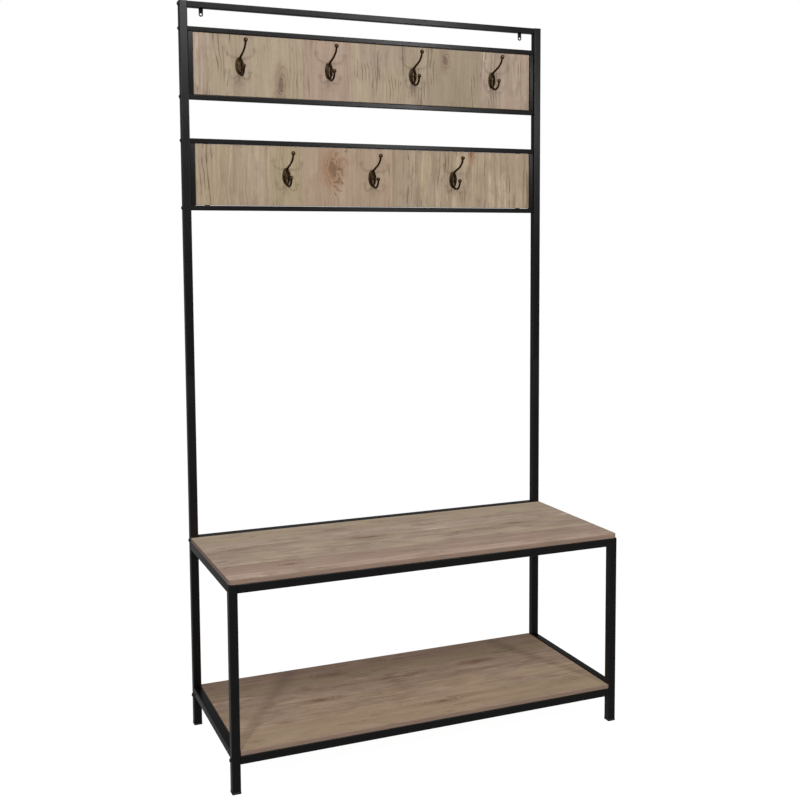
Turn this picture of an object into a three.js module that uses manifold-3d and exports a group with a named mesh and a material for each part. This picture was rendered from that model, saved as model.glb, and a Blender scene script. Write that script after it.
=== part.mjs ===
// Hall tree: a bench with a shelf below it, and a tall back that carries two rows of coat hooks.
// Units are millimetres, +Z is up, -Y is the front. The origin is on the floor, midway between the feet.
import * as THREE from "three";
import { mergeVertices } from "three/addons/utils/BufferGeometryUtils.js";
import Module from "manifold-3d";

const wasm = await Module();
wasm.setup();

// Overall size, over the tubes.
const WIDTH = 1000;
const DEPTH = 416;
const HEIGHT = 1812;

// Square steel tube, in three sizes: the main frame, the top rail, and the bars round the hook panels.
const TUBE = { size: 20, wall: 1.2, radius: 2 };
const TOP_BAR = { size: 15, wall: 1, radius: 1.6 };
const PANEL_BAR = { size: 12, wall: 1, radius: 1.6 };
const GAP = 0.3; // clearance left wherever two pieces touch
const END_PLATE = 3; // threaded plate welded into each end of a cross rail
const CAP_PLATE = 1.5; // plate welded over the top of each upright

// Heights of the rails and boards above the floor.
const SEAT_RAIL_TOP = 476;
const SEAT_BACK_RAIL_TOP = 489;
const SEAT_BOARD = { thickness: 11, corner: 10, rearGap: 2 };
const SHELF_RAIL_TOP = 87;
const SHELF_SIDE_RAIL_TOP = 99;
const SHELF_BOARD = { thickness: 10, sideGap: 0.8 };
const SPLICE_Z = 897; // where the upper upright stands on the lower one
const SPIGOT_LENGTH = 120;
const FOOT = { height: 5, overhang: 0.5, plugLength: 15 };

// The two hook panels: a welded frame of bars, with a board set back in it.
const PANEL_HEIGHT = 176;
const PANELS = [
  { name: "upper_panel", top: 1752, hooks: 4, slack: 0.8 },
  { name: "lower_panel", top: 1482, hooks: 3, slack: 1.1 }, // its board stops short of the bottom bar
];
const PANEL_BOARD = { thickness: 9, setback: 3, sideGap: 0.8 };
const HOOK_PITCH = 234;

// Tabs that hang from the top rail, for two wall screws.
const TAB = { x: 443, width: 10.7, drop: 18.3, thickness: 1.7, overlap: 11, holeRadius: 2.5, holeDrop: 12.5 };

// Dome-headed frame bolt.
const BOLT = { shankRadius: 2.5, length: 26, headRadius: 4.8, headHeight: 3.6 };
const BOLT_HOLE_RADIUS = 3.1;

// Two-pronged coat hook. Outlines run out from the board and up from the middle of its back plate.
const HOOK = { plateWidth: 22, plateHeight: 44, plateThickness: 4, prongRadius: 2.7, ballRadius: 5.2 };
const UPPER_PRONG = [[2.7, 10], [8, 18], [22, 23.5], [41, 30], [56.5, 41], [62, 53.5]];
const LOWER_PRONG = [[2.7, -13], [8, -22], [20, -26.5], [33, -24.5], [41.5, -16], [43.5, -6]];

// Places that several pieces share.
const TUBE_X = (WIDTH - TUBE.size) / 2; // centre line of every upright and leg
const TUBE_Y = (DEPTH - TUBE.size) / 2;
const INSIDE_X = WIDTH / 2 - TUBE.size; // inner faces of the uprights
const RAIL_LENGTH = 2 * (INSIDE_X - GAP);
const BAR_FRONT_Y = TUBE_Y - PANEL_BAR.size / 2;
const SEAT_RAIL_Z = SEAT_RAIL_TOP - TUBE.size / 2;
const SEAT_BACK_RAIL_Z = SEAT_BACK_RAIL_TOP - TUBE.size / 2;
const SHELF_RAIL_Z = SHELF_RAIL_TOP - TUBE.size / 2;
const TOP_RAIL_Z = HEIGHT - TOP_BAR.size / 2;
const SIDES = [
  { side: "left", sign: -1 },
  { side: "right", sign: 1 },
];

const painted = new THREE.MeshStandardMaterial({ color: 0x1b1a1a, roughness: 0.48, metalness: 0.35 });
const oak = new THREE.MeshStandardMaterial({ color: 0xa08f7e, roughness: 0.62, metalness: 0 });
const bronze = new THREE.MeshStandardMaterial({ color: 0x3d2c20, roughness: 0.4, metalness: 0.85 });
const plastic = new THREE.MeshStandardMaterial({ color: 0x141414, roughness: 0.6, metalness: 0 });
const blackened = new THREE.MeshStandardMaterial({ color: 0x1d1c1b, roughness: 0.42, metalness: 0.6 });

const hallTree = new THREE.Group();
const backFrame = new THREE.Group();
const bench = new THREE.Group();
hallTree.add(backFrame, bench);

// A closed geometry as a solid that can be joined and cut.
function solid(geometry) {
  const bare = geometry.clone();
  bare.deleteAttribute("normal");
  bare.deleteAttribute("uv");
  const merged = mergeVertices(bare, 1e-4);
  return new wasm.Manifold(
    new wasm.Mesh({
      numProp: 3,
      vertProperties: new Float32Array(merged.attributes.position.array),
      triVerts: new Uint32Array(merged.index.array),
    }),
  );
}

function geometryOf(manifold) {
  const mesh = manifold.getMesh();
  const geometry = new THREE.BufferGeometry();
  geometry.setAttribute("position", new THREE.BufferAttribute(mesh.vertProperties, 3));
  geometry.setIndex(new THREE.BufferAttribute(mesh.triVerts, 1));
  geometry.computeVertexNormals();
  return geometry;
}

// The first geometry without the others.
function cut(geometry, cutters) {
  const rest = cutters.reduce((body, cutter) => body.subtract(solid(cutter)), solid(geometry));
  return geometryOf(rest);
}

function join(geometries) {
  return geometryOf(geometries.map(solid).reduce((a, b) => a.add(b)));
}

function add(group, name, geometry, material, position, rotation = [0, 0, 0]) {
  const mesh = new THREE.Mesh(geometry, material);
  mesh.name = name;
  mesh.position.set(...position);
  mesh.rotation.set(...rotation);
  group.add(mesh);
  return mesh;
}

const ALONG_X = [0, Math.PI / 2, 0];
const ALONG_Y = [-Math.PI / 2, 0, 0];

// A rectangle about the origin, with one radius at the corners named in rounded.
function rectangle(width, height, radius, rounded = [true, true, true, true]) {
  const x = width / 2;
  const y = height / 2;
  const [r1, r2, r3, r4] = rounded.map((on) => (on ? radius : 0));
  const shape = new THREE.Shape();
  shape.moveTo(-x + r1, -y);
  shape.lineTo(x - r2, -y);
  if (r2) shape.absarc(x - r2, -y + r2, r2, -Math.PI / 2, 0);
  shape.lineTo(x, y - r3);
  if (r3) shape.absarc(x - r3, y - r3, r3, 0, Math.PI / 2);
  shape.lineTo(-x + r4, y);
  if (r4) shape.absarc(-x + r4, y - r4, r4, Math.PI / 2, Math.PI);
  shape.lineTo(-x, -y + r1);
  if (r1) shape.absarc(-x + r1, -y + r1, r1, Math.PI, 1.5 * Math.PI);
  return shape;
}

// A shape drawn out along +Z, from the given height.
function prism(shape, length, from = 0, curveSegments = 2) {
  const geometry = new THREE.ExtrudeGeometry(shape, { depth: length, bevelEnabled: false, curveSegments });
  return geometry.translate(0, 0, from);
}

// A square tube along +Z from 0, solid for bottomPlate at its foot and topPlate at its head.
function tube(section, length, bottomPlate = 0, topPlate = 0) {
  const over = 1; // how far the bore runs past an open end
  const boreSize = section.size - 2 * section.wall;
  const boreFrom = bottomPlate || -over;
  const boreTo = length - (topPlate || -over);
  const boreShape = rectangle(boreSize, boreSize, section.radius - section.wall);
  const bore = prism(boreShape, boreTo - boreFrom, boreFrom);
  return { body: prism(rectangle(section.size, section.size, section.radius), length), bore };
}

// A round cutter through the whole of a tube, along X, at a height.
function crossHole(z) {
  const hole = new THREE.CylinderGeometry(BOLT_HOLE_RADIUS, BOLT_HOLE_RADIUS, 2 * TUBE.size, 12);
  return hole.rotateZ(Math.PI / 2).translate(0, 0, z);
}

// A vertical tube from z = low to z = high, with bolt holes at the heights given.
function upright(low, high, boltHeights, topPlate = 0) {
  const { body, bore } = tube(TUBE, high - low, 0, topPlate);
  return cut(body, [bore, ...boltHeights.map((z) => crossHole(z - low))]);
}

// A rail between the uprights, centred on the origin, with a threaded plate in each end.
function crossRail(section) {
  const { body, bore } = tube(section, RAIL_LENGTH, END_PLATE, END_PLATE);
  const thread = new THREE.CylinderGeometry(BOLT_HOLE_RADIUS, BOLT_HOLE_RADIUS, RAIL_LENGTH + 2, 12);
  thread.rotateX(Math.PI / 2).translate(0, 0, RAIL_LENGTH / 2);
  return cut(body, [bore, thread]).translate(0, 0, -RAIL_LENGTH / 2);
}

// A plain open tube along +Z, centred on the origin.
function openTube(section, length) {
  const { body, bore } = tube(section, length);
  return cut(body, [bore]).translate(0, 0, -length / 2);
}

function box(width, depth, height) {
  return new THREE.BoxGeometry(width, depth, height);
}

// ---- Uprights, legs and feet ----

const panelBars = PANELS.flatMap(({ name, top }) => [
  { place: `${name}_top`, z: top - PANEL_BAR.size / 2 },
  { place: `${name}_bottom`, z: top - PANEL_HEIGHT + PANEL_BAR.size / 2 },
]);
const upperBoltHeights = [...panelBars.map(({ z }) => z), TOP_RAIL_Z];
const legBottom = FOOT.height + GAP;
const lowerUpright = upright(legBottom, SPLICE_Z - GAP / 2, [SHELF_RAIL_Z, SEAT_BACK_RAIL_Z]);
const upperUpright = upright(SPLICE_Z + GAP / 2, HEIGHT, upperBoltHeights, CAP_PLATE);
const frontLeg = upright(legBottom, SEAT_RAIL_TOP, [SHELF_RAIL_Z, SEAT_RAIL_Z]);
const spigotSize = TUBE.size - 2 * TUBE.wall - 2 * GAP;
const spigot = openTube({ size: spigotSize, wall: 1.5, radius: 1.6 }, SPIGOT_LENGTH);

function foot() {
  const width = TUBE.size + 2 * FOOT.overhang;
  const pad = prism(rectangle(width, width, TUBE.radius), FOOT.height);
  const plug = prism(rectangle(spigotSize, spigotSize, 1), FOOT.plugLength + 1, FOOT.height - 1, 1);
  return join([pad, plug]);
}
const footCap = foot();

for (const { side, sign } of SIDES) {
  const x = sign * TUBE_X;
  add(bench, `lower_upright_${side}`, lowerUpright, painted, [x, TUBE_Y, legBottom]);
  add(bench, `front_leg_${side}`, frontLeg, painted, [x, -TUBE_Y, legBottom]);
  add(backFrame, `upper_upright_${side}`, upperUpright, painted, [x, TUBE_Y, SPLICE_Z + GAP / 2]);
  add(backFrame, `splice_spigot_${side}`, spigot, blackened, [x, TUBE_Y, SPLICE_Z]);
  add(bench, `front_foot_${side}`, footCap, plastic, [x, -TUBE_Y, 0]);
  add(bench, `rear_foot_${side}`, footCap, plastic, [x, TUBE_Y, 0]);
}

// ---- Bench rails and boards ----

const mainRail = crossRail(TUBE);
const sideRail = openTube(TUBE, 2 * (TUBE_Y - TUBE.size / 2 - GAP));
add(bench, "seat_front_rail", mainRail, painted, [0, -TUBE_Y, SEAT_RAIL_Z], ALONG_X);
add(bench, "seat_back_rail", mainRail, painted, [0, TUBE_Y, SEAT_BACK_RAIL_Z], ALONG_X);
add(bench, "shelf_front_rail", mainRail, painted, [0, -TUBE_Y, SHELF_RAIL_Z], ALONG_X);
add(bench, "shelf_back_rail", mainRail, painted, [0, TUBE_Y, SHELF_RAIL_Z], ALONG_X);
const shelfSideRailZ = SHELF_SIDE_RAIL_TOP - TUBE.size / 2;
for (const { side, sign } of SIDES) {
  const x = sign * TUBE_X;
  add(bench, `seat_side_rail_${side}`, sideRail, painted, [x, 0, SEAT_RAIL_Z], ALONG_Y);
  add(bench, `shelf_side_rail_${side}`, sideRail, painted, [x, 0, shelfSideRailZ], ALONG_Y);
}

// The seat board lies on the front and side rails, with its two front corners rounded.
const seatDepth = DEPTH - TUBE.size - SEAT_BOARD.rearGap;
const seatOutline = rectangle(WIDTH, seatDepth, SEAT_BOARD.corner, [true, true, false, false]);
const seatBoard = prism(seatOutline, SEAT_BOARD.thickness, 0, 4);
add(bench, "seat_board", seatBoard, oak, [0, (seatDepth - DEPTH) / 2, SEAT_RAIL_TOP + GAP]);

// The shelf board lies on the front and back rails, a little below the tops of the side rails beside it.
const shelfBoard = box(2 * (INSIDE_X - SHELF_BOARD.sideGap), DEPTH, SHELF_BOARD.thickness);
add(bench, "shelf_board", shelfBoard, oak, [0, 0, SHELF_RAIL_TOP + GAP + SHELF_BOARD.thickness / 2]);

// ---- Back: top rail, wall tabs, hook panels ----

add(backFrame, "top_rail", crossRail(TOP_BAR), painted, [0, TUBE_Y, TOP_RAIL_Z], ALONG_X);

// A strap on the back of the top rail, with a round lower end and a screw hole.
function wallTab() {
  const radius = TAB.width / 2;
  const shape = new THREE.Shape();
  shape.moveTo(-radius, TAB.overlap);
  shape.lineTo(-radius, radius - TAB.drop);
  shape.absarc(0, radius - TAB.drop, radius, Math.PI, 2 * Math.PI);
  shape.lineTo(radius, TAB.overlap);
  const hole = new THREE.Path().absarc(0, -TAB.holeDrop, TAB.holeRadius, 0, 2 * Math.PI, true);
  shape.holes.push(hole);
  return prism(shape, TAB.thickness, 0, 6).rotateX(Math.PI / 2);
}
const tab = wallTab();
const tabBack = TUBE_Y + TOP_BAR.size / 2 + GAP + TAB.thickness;
for (const { side, sign } of SIDES) {
  add(backFrame, `wall_tab_${side}`, tab, painted, [sign * TAB.x, tabBack, HEIGHT - TOP_BAR.size]);
}

// A prong: a round bar along a smooth curve through its outline, with a ball on its tip.
function prong(outline) {
  const curve = new THREE.CatmullRomCurve3(outline.map(([out, up]) => new THREE.Vector3(0, -out, up)));
  const section = new THREE.Shape().absarc(0, 0, HOOK.prongRadius, 0, 2 * Math.PI);
  const bar = new THREE.ExtrudeGeometry(section, { steps: 12, curveSegments: 3, extrudePath: curve });
  const ball = new THREE.SphereGeometry(HOOK.ballRadius, 10, 7);
  const tip = curve.getPoint(1);
  return [bar, ball.translate(tip.x, tip.y, tip.z)];
}

function coatHook() {
  const oval = new THREE.Shape();
  oval.absellipse(0, 0, HOOK.plateWidth / 2, HOOK.plateHeight / 2, 0, 2 * Math.PI);
  const plate = prism(oval, HOOK.plateThickness, 0, 10).rotateX(Math.PI / 2);
  return join([plate, ...prong(UPPER_PRONG), ...prong(LOWER_PRONG)]);
}
const hook = coatHook();

const panelBar = crossRail(PANEL_BAR);
const stile = openTube(PANEL_BAR, PANEL_HEIGHT - 2 * (PANEL_BAR.size + GAP));
for (const { name, top, hooks, slack } of PANELS) {
  const bottom = top - PANEL_HEIGHT;
  const middle = (top + bottom) / 2;
  add(backFrame, `${name}_top_bar`, panelBar, painted, [0, TUBE_Y, top - PANEL_BAR.size / 2], ALONG_X);
  add(backFrame, `${name}_bottom_bar`, panelBar, painted, [0, TUBE_Y, bottom + PANEL_BAR.size / 2], ALONG_X);
  for (const { side, sign } of SIDES) {
    const x = sign * (INSIDE_X - GAP - PANEL_BAR.size / 2);
    add(backFrame, `${name}_stile_${side}`, stile, painted, [x, TUBE_Y, middle]);
  }
  const boardWidth = 2 * (INSIDE_X - GAP - PANEL_BAR.size - PANEL_BOARD.sideGap);
  const boardLow = bottom + PANEL_BAR.size + slack;
  const boardHigh = top - PANEL_BAR.size - PANEL_BOARD.sideGap;
  const board = box(boardWidth, PANEL_BOARD.thickness, boardHigh - boardLow);
  const boardFace = BAR_FRONT_Y + PANEL_BOARD.setback;
  const boardY = boardFace + PANEL_BOARD.thickness / 2;
  add(backFrame, `${name}_board`, board, oak, [0, boardY, (boardLow + boardHigh) / 2]);
  for (let i = 0; i < hooks; i += 1) {
    const x = (i - (hooks - 1) / 2) * HOOK_PITCH;
    add(backFrame, `${name}_hook_${i + 1}`, hook, bronze, [x, boardFace - GAP, middle]);
  }
}

// ---- Frame bolts, from the outer face of each upright and leg into the end of a rail ----

// Half outline of a bolt about its axis: shank below 0, domed head above.
function boltGeometry() {
  const { shankRadius, length, headRadius, headHeight } = BOLT;
  const profile = [new THREE.Vector2(0, -length), new THREE.Vector2(shankRadius, -length)];
  profile.push(new THREE.Vector2(shankRadius, 0), new THREE.Vector2(headRadius, 0));
  const domeSteps = 4;
  for (let i = 1; i <= domeSteps; i += 1) {
    const turn = (i / domeSteps) * (Math.PI / 2);
    profile.push(new THREE.Vector2(headRadius * Math.cos(turn), headHeight * Math.sin(turn)));
  }
  profile[profile.length - 1].x = 0;
  return new THREE.LatheGeometry(profile, 12);
}
const bolt = boltGeometry();

const boltPlaces = [
  ["shelf_front", -TUBE_Y, SHELF_RAIL_Z],
  ["shelf_back", TUBE_Y, SHELF_RAIL_Z],
  ["seat_front", -TUBE_Y, SEAT_RAIL_Z],
  ["seat_back", TUBE_Y, SEAT_BACK_RAIL_Z],
  ...panelBars.map(({ place, z }) => [place, TUBE_Y, z]),
  ["top_rail", TUBE_Y, TOP_RAIL_Z],
];
for (const { side, sign } of SIDES) {
  for (const [place, y, z] of boltPlaces) {
    const position = [sign * (WIDTH / 2 + GAP), y, z];
    add(hallTree, `${place}_bolt_${side}`, bolt, blackened, position, [0, 0, (-sign * Math.PI) / 2]);
  }
}

export default hallTree;
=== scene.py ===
"""Hall tree with hooks: a bench with a shelf below it, and a tall back that carries two rows of coat hooks.

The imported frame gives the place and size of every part. This script lays a finely made piece over each of
them, gives it its finish, and sets up a plain studio. Lengths are metres, +Z is up and -Y is the front.
"""

import logging
import math
from dataclasses import dataclass
from enum import Enum
from typing import Any, Sequence

import bpy
import numpy as np
from mathutils import Euler, Matrix, Vector


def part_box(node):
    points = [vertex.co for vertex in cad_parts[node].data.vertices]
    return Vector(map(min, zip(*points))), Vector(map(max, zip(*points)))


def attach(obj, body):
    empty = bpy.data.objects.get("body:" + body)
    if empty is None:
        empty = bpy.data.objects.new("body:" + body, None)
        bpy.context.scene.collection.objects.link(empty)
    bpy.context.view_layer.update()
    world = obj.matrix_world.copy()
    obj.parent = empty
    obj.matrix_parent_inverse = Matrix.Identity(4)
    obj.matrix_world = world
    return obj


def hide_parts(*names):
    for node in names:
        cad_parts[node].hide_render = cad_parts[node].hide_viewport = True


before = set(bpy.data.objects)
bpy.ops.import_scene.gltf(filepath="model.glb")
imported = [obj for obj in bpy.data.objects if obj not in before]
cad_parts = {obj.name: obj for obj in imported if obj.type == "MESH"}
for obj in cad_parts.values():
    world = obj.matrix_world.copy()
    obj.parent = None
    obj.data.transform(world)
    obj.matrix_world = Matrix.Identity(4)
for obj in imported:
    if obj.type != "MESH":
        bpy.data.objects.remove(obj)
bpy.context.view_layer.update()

MM = 0.001
SIDES = ("left", "right")
AXIS_X = np.array([1.0, 0.0, 0.0])

log = logging.getLogger("hall_tree")


# -----------------------------------------------------------------------------
# Surfaces
# -----------------------------------------------------------------------------


@dataclass
class Surface:
    """One or more closed surfaces, as whole arrays.

    points is (n, 3). quads is (m, 4) and caps are the outlines of the flat ends, both turning anticlockwise
    as seen from outside. wear is 0 on a flat and 1 on an edge that hands and cloths rub, and some finishes
    also lay a painted highlight where it is high. finishes says which finish each face takes, the quads first
    and then the caps.
    """

    points: np.ndarray
    quads: np.ndarray
    caps: list[np.ndarray]
    wear: np.ndarray
    finishes: np.ndarray

    @staticmethod
    def loft(rings: np.ndarray, wear: np.ndarray | None = None, closed: bool = False) -> "Surface":
        """Join a stack of rings into one skin.

        Ring i and ring i + 1 are joined by quads (i, j), (i, j + 1), (i + 1, j + 1), (i + 1, j). The rings
        turn anticlockwise about the way in which the stack runs, so that the skin faces out.

        Args:
            rings: (rings, points in a ring, 3).
            wear: wear of each point, (rings, points in a ring), or None for none.
            closed: True to join the last ring to the first, instead of capping both.

        Returns:
            The surface.
        """
        count, around = rings.shape[:2]
        i = np.arange(count if closed else count - 1)[:, None]
        j = np.arange(around)[None, :]
        above, beside = (i + 1) % count, (j + 1) % around
        corners = [i * around + j, i * around + beside, above * around + beside, above * around + j]
        quads = np.stack(corners, axis=-1).reshape(-1, 4)
        caps = [] if closed else [np.arange(around)[::-1], (count - 1) * around + np.arange(around)]
        worn = np.broadcast_to(0.0 if wear is None else wear, (count, around)).reshape(-1)
        return Surface(rings.reshape(-1, 3), quads, caps, worn, np.zeros(len(quads) + len(caps), int))

    @staticmethod
    def join(parts: Sequence["Surface"]) -> "Surface":
        """Several surfaces as one, each still closed on its own."""
        starts = np.cumsum([0] + [len(part.points) for part in parts[:-1]])
        quads = np.concatenate([part.quads + start for part, start in zip(parts, starts)])
        caps = [cap + start for part, start in zip(parts, starts) for cap in part.caps]
        sides = [part.finishes[: len(part.quads)] for part in parts]
        ends = [part.finishes[len(part.quads):] for part in parts]
        points = np.concatenate([part.points for part in parts])
        wear = np.concatenate([part.wear for part in parts])
        return Surface(points, quads, caps, wear, np.concatenate(sides + ends))

    def placed(self, axes: np.ndarray, origin: np.ndarray) -> "Surface":
        """The surface in another place.

        Args:
            axes: (3, 3), the rows are where the surface's own X, Y and Z point. A mirroring set turns the
                faces.
            origin: where the surface's own origin goes.

        Returns:
            The placed surface.
        """
        way = 1 if np.linalg.det(axes) > 0 else -1
        caps = [cap[::way] for cap in self.caps]
        return Surface(self.points @ axes + origin, self.quads[:, ::way], caps, self.wear, self.finishes)


# Rows are where a piece's own X, Y and Z point when its Z runs along the named axis.
UP = np.eye(3)
ALONG_X = np.array([[0.0, 1.0, 0.0], [0.0, 0.0, 1.0], [1.0, 0.0, 0.0]])
ALONG_Y = np.array([[0.0, 0.0, 1.0], [1.0, 0.0, 0.0], [0.0, 1.0, 0.0]])
OUT_FRONT = np.array([[1.0, 0.0, 0.0], [0.0, 0.0, 1.0], [0.0, -1.0, 0.0]])
OUT_BACK = np.array([[-1.0, 0.0, 0.0], [0.0, 0.0, 1.0], [0.0, 1.0, 0.0]])
DOWN = np.array([[1.0, 0.0, 0.0], [0.0, -1.0, 0.0], [0.0, 0.0, -1.0]])
LONG_AXES = (ALONG_X, ALONG_Y, UP)


def rounded_rings(
    half: tuple[float, float], radii: Sequence[float], insets: np.ndarray, along: np.ndarray, steps: int = 6
) -> tuple[np.ndarray, np.ndarray]:
    """A stack of rectangles with round corners, each drawn in by its inset.

    A point on corner k is corner centre + r * (cos a, sin a), where a runs through the corner's quarter turn,
    r is the corner's radius less the inset, and the centre is r inside both sides. One more point stands on
    the flat just past each end of the arc, so that the flat shades flat.

    Args:
        half: half width and half depth of the largest rectangle.
        radii: radius of the corners at (+, +), (-, +), (-, -) and (+, -).
        insets: how far each rectangle is drawn in from the largest.
        along: height of each rectangle.
        steps: steps in each corner's arc.

    Returns:
        The rings, (rectangles, points, 3), and their wear, greatest in the middle of each corner, where the
        paint also lays a painted highlight.
    """
    least = 0.05 * MM
    turn = np.concatenate([[0.0], np.linspace(0, math.pi / 2, steps + 1), [math.pi / 2]])
    shift = np.concatenate([[-1.0], np.zeros(steps + 1), [1.0]])
    quarter = np.repeat(np.arange(4), steps + 3)
    angle = np.tile(turn, 4) + quarter * math.pi / 2
    sign_x = np.array([1.0, -1.0, -1.0, 1.0])[quarter]
    sign_y = np.array([1.0, 1.0, -1.0, -1.0])[quarter]
    radius = np.maximum(np.asarray(radii)[quarter][None, :] - insets[:, None], least)
    flat = np.minimum(0.4 * MM, 0.2 * (half[0] - insets))[:, None] * np.tile(shift, 4)
    x = sign_x * (half[0] - insets[:, None] - radius) + radius * np.cos(angle) - flat * np.sin(angle)
    y = sign_y * (half[1] - insets[:, None] - radius) + radius * np.sin(angle) + flat * np.cos(angle)
    rings = np.stack([x, y, np.broadcast_to(along[:, None], x.shape)], axis=-1)
    return rings, np.broadcast_to(np.sin(2 * np.tile(turn, 4)), x.shape)


def eased(radius: float, steps: int = 4) -> tuple[np.ndarray, np.ndarray]:
    """A quarter round from an end face to the side: inset r * (1 - sin a), height r * (1 - cos a).

    Args:
        radius: its radius.
        steps: steps in the quarter turn.

    Returns:
        The insets and the heights, with one point more on the end face, so that the face shades flat.
    """
    a = np.linspace(0, math.pi / 2, steps + 1)
    inset = np.concatenate([[1.6 * radius], radius * (1 - np.sin(a))])
    return inset, np.concatenate([[0.0], radius * (1 - np.cos(a))])


def turned(outline: Sequence[tuple[float, float]], around: int = 40) -> np.ndarray:
    """Rings of a turned shape: radius * (cos a, sin a) at each height.

    Args:
        outline: (radius, height) from the bottom face to the top one.
        around: points in a ring.

    Returns:
        The rings, (outline points, around, 3).
    """
    radius, height = np.array(outline).T
    a = np.arange(around) * 2 * math.pi / around
    x, y = radius[:, None] * np.cos(a), radius[:, None] * np.sin(a)
    return np.stack([x, y, np.broadcast_to(height[:, None], x.shape)], axis=-1)


def circle(around: int) -> np.ndarray:
    """A unit circle, anticlockwise, as (around, 2)."""
    a = np.arange(around) * 2 * math.pi / around
    return np.stack([np.cos(a), np.sin(a)], axis=-1)


def sweep(
    path: np.ndarray, side: np.ndarray, section: np.ndarray, tall: np.ndarray, wide: np.ndarray
) -> np.ndarray:
    """Carry a section along a path that lies in one plane.

    A ring is path point + tall * section x * normal + wide * section y * side, where the side is square to
    the plane and the normal is side x tangent.

    Args:
        path: (stations, 3).
        side: the plane's unit normal.
        section: (points, 2), anticlockwise, about 1 in radius.
        tall: half size of the section in the plane, at each station.
        wide: half size of the section across the plane, at each station.

    Returns:
        The rings, (stations, points, 3).
    """
    tangent = np.gradient(path, axis=0)
    tangent /= np.linalg.norm(tangent, axis=1, keepdims=True)
    normal = np.cross(side, tangent)
    in_plane = (tall[:, None] * section[:, 0])[..., None] * normal[:, None, :]
    across = (wide[:, None] * section[:, 1])[..., None] * side
    return path[:, None, :] + in_plane + across


def smooth_line(points: Sequence[Sequence[float]], per_span: int = 24) -> np.ndarray:
    """A Catmull-Rom curve.

    In each span it is half of 2p1 + (p2 - p0)t + (2p0 - 5p1 + 4p2 - p3)t^2 + (3p1 - p0 - 3p2 + p3)t^3.

    Args:
        points: the points that it goes through.
        per_span: steps between two of them.

    Returns:
        (steps, 2 or 3) points on the curve.
    """
    knots = np.array(points, float)
    padded = np.vstack([2 * knots[0] - knots[1], knots, 2 * knots[-1] - knots[-2]])
    p0, p1, p2, p3 = (padded[k : len(padded) - 3 + k][:, None, :] for k in range(4))
    t = (np.arange(per_span) / per_span)[None, :, None]
    square, cube = 2 * p0 - 5 * p1 + 4 * p2 - p3, 3 * p1 - p0 - 3 * p2 + p3
    curve = 2 * p1 + (p2 - p0) * t + square * t**2 + cube * t**3
    return np.vstack([0.5 * curve.reshape(-1, knots.shape[1]), knots[-1:]])


def polar_ring(angle: np.ndarray, radius: np.ndarray, height: float) -> np.ndarray:
    """Points at each angle, at its radius, all at one height."""
    return np.stack([radius * np.cos(angle), radius * np.sin(angle), np.full_like(angle, height)], axis=-1)


def at_lengths(line: np.ndarray, lengths: np.ndarray) -> np.ndarray:
    """Points on a line at the given lengths along it; past an end they run straight on."""
    steps = np.linalg.norm(np.diff(line, axis=0), axis=1)
    along = np.concatenate([[0.0], np.cumsum(steps)])
    inside = np.stack([np.interp(lengths, along, line[:, k]) for k in range(line.shape[1])], axis=-1)
    before = np.minimum(lengths, 0)[:, None] * (line[1] - line[0]) / steps[0]
    after = np.maximum(lengths - along[-1], 0)[:, None] * (line[-1] - line[-2]) / steps[-1]
    return inside + before + after


def smoothstep(low: float, high: float, value: np.ndarray) -> np.ndarray:
    """0 at low and before it, 1 at high and past it, and 3t^2 - 2t^3 between."""
    t = np.clip((value - low) / (high - low), 0, 1)
    return t * t * (3 - 2 * t)


# -----------------------------------------------------------------------------
# Shader graphs
# -----------------------------------------------------------------------------


class Value:
    """A socket that carries a number or a colour. Arithmetic on it adds Math nodes to its graph."""

    def __init__(self, graph: "Graph", socket: bpy.types.NodeSocket) -> None:
        """Wrap an output socket of a graph."""
        self.graph = graph
        self.socket = socket

    def __add__(self, other: "Value | float") -> "Value":
        """self + other."""
        return self.graph.math("ADD", self, other)

    def __sub__(self, other: "Value | float") -> "Value":
        """self - other."""
        return self.graph.math("SUBTRACT", self, other)

    def __rsub__(self, other: float) -> "Value":
        """other - self."""
        return self.graph.math("SUBTRACT", other, self)

    def __mul__(self, other: "Value | float") -> "Value":
        """self * other."""
        return self.graph.math("MULTIPLY", self, other)

    def __truediv__(self, other: "Value | float") -> "Value":
        """self / other."""
        return self.graph.math("DIVIDE", self, other)

    def __rtruediv__(self, other: float) -> "Value":
        """other / self."""
        return self.graph.math("DIVIDE", other, self)

    def __pow__(self, other: "Value | float") -> "Value":
        """self to the power other."""
        return self.graph.math("POWER", self, other)

    __radd__ = __add__
    __rmul__ = __mul__


Colour = tuple[float, float, float]
Input = Value | float | Sequence[float]


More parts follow.
